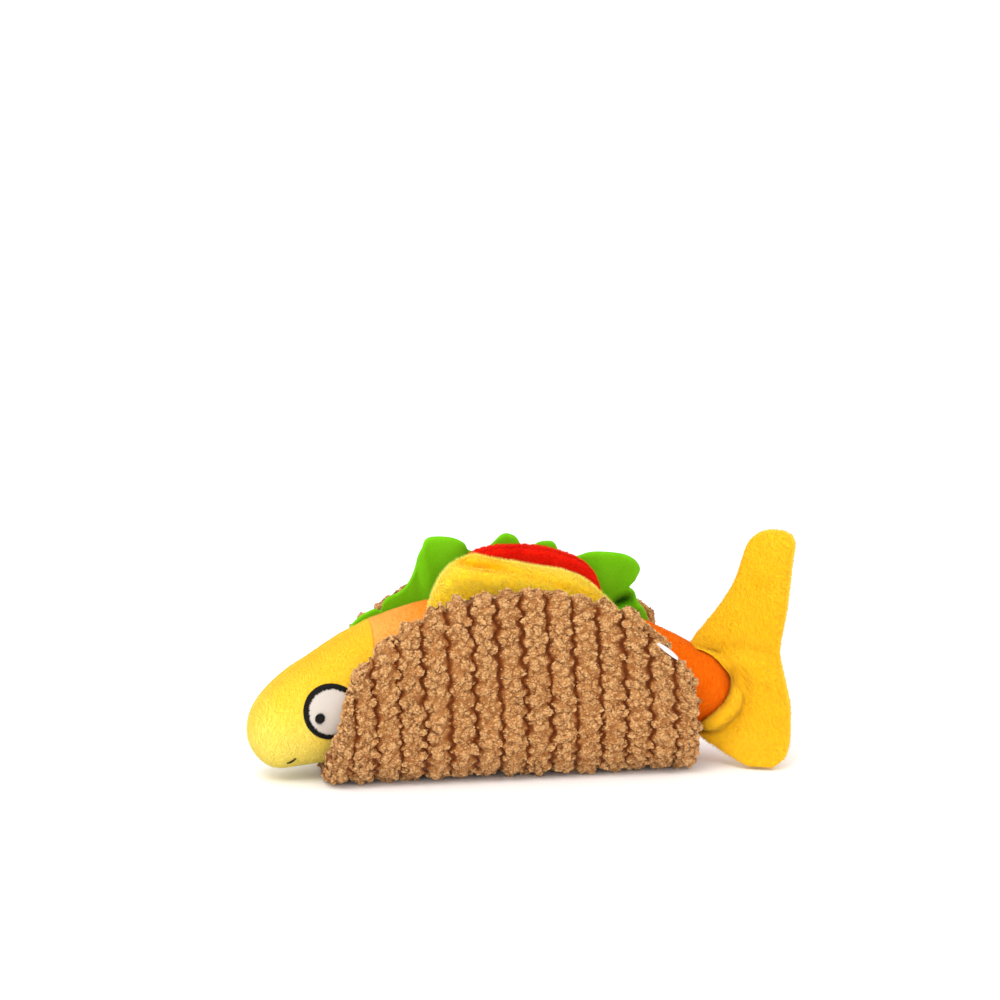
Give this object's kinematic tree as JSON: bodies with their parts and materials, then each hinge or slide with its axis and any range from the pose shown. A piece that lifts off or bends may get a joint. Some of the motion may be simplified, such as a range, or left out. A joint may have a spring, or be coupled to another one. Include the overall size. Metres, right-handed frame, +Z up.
{
  "type": "plush dog toy",
  "caption": "Plush squeaky dog toy: a stuffed fish folded in a ribbed chenille taco shell with felt and plush fillings.",
  "frame": {"origin": "middle of the flat that the folded shell stands on", "axes": "+X from snout to tail, -Y towards the front flap, +Z up"},
  "size_m": [0.2663, 0.0802, 0.116],
  "materials": {
    "chenille": "nubbly chenille in raised cords, very matte",
    "lining": "short knitted nap, matte",
    "fibre_filling": "loose white polyester fibre",
    "satin_tab": "smooth woven satin ribbon, blank",
    "yellow_plush": "short brushed plush pile",
    "fin_plush": "short brushed plush pile",
    "orange_plush": "short brushed plush pile",
    "red_plush": "short brushed plush pile",
    "cheese_plush": "longer brushed plush pile",
    "green_felt": "smooth felt, matte",
    "black_thread": "satin stitch embroidery",
    "eye_felt": "smooth short felt",
    "squeaker_plastic": "soft translucent white plastic"
  },
  "bodies": {
    "fish": {"shell_bottom_chenille": "chenille", "shell_bottom_lining": "lining", "head_front": "yellow_plush", "head_back": "yellow_plush", "body_front": "orange_plush", "body_back": "orange_plush", "fish_stuffing": "fibre_filling", "eye_ring_front": "black_thread", "eye_ring_back": "black_thread", "eye_white_front": "eye_felt", "eye_white_back": "eye_felt", "pupil_front": "black_thread", "pupil_back": "black_thread", "squeaker_bellows": "squeaker_plastic", "tomato_front": "red_plush", "tomato_back": "red_plush", "tomato_stuffing": "fibre_filling"},
    "front_flap": {"shell_front_chenille": "chenille", "shell_front_padding": "fibre_filling", "shell_front_lining": "lining", "seam_tab": "satin_tab"},
    "back_flap": {"shell_back_chenille": "chenille", "shell_back_padding": "fibre_filling", "shell_back_lining": "lining"},
    "tail_fin": {"tail_fin_front": "fin_plush", "tail_fin_back": "fin_plush", "tail_fin_stuffing": "fibre_filling"},
    "cheese": {"cheese_slice": "cheese_plush"},
    "lettuce": {"lettuce_leaf": "green_felt"},
    "squeaker_end": {"squeaker_plug": "squeaker_plastic", "squeaker_reed": "squeaker_plastic"}
  },
  "joints": [
    {"name": "front_flap_open", "type": "hinge", "parent": "fish", "child": "front_flap", "pos_m": [0, -0.03375, 0.00952], "axis": [1, 0, 0], "range_deg": [0, 65], "stiffness_Nm_per_rad": 0.03},
    {"name": "back_flap_open", "type": "hinge", "parent": "fish", "child": "back_flap", "pos_m": [0, 0.03375, 0.00952], "axis": [-1, 0, 0], "range_deg": [0, 65], "stiffness_Nm_per_rad": 0.03},
    {"name": "tail_fin_wag", "type": "hinge", "parent": "fish", "child": "tail_fin", "pos_m": [0.0955, 0, 0.036], "axis": [0, 0, 1], "range_deg": [-25, 25], "stiffness_Nm_per_rad": 0.02},
    {"name": "cheese_lift", "type": "hinge", "parent": "fish", "child": "cheese", "pos_m": [0, -0.0241, 0.066], "axis": [1, 0, 0], "range_deg": [0, 10], "stiffness_Nm_per_rad": 0.01},
    {"name": "lettuce_flop", "type": "hinge", "parent": "fish", "child": "lettuce", "pos_m": [0, 0.0234, 0.062], "axis": [-1, 0, 0], "range_deg": [0, 8], "stiffness_Nm_per_rad": 0.01},
    {"name": "squeaker_press", "type": "slide", "parent": "fish", "child": "squeaker_end", "axis": [0, -1, 0], "range_m": [0, 0.008], "stiffness_N_per_m": 200, "deforming": ["squeaker_bellows"]}
  ]
}
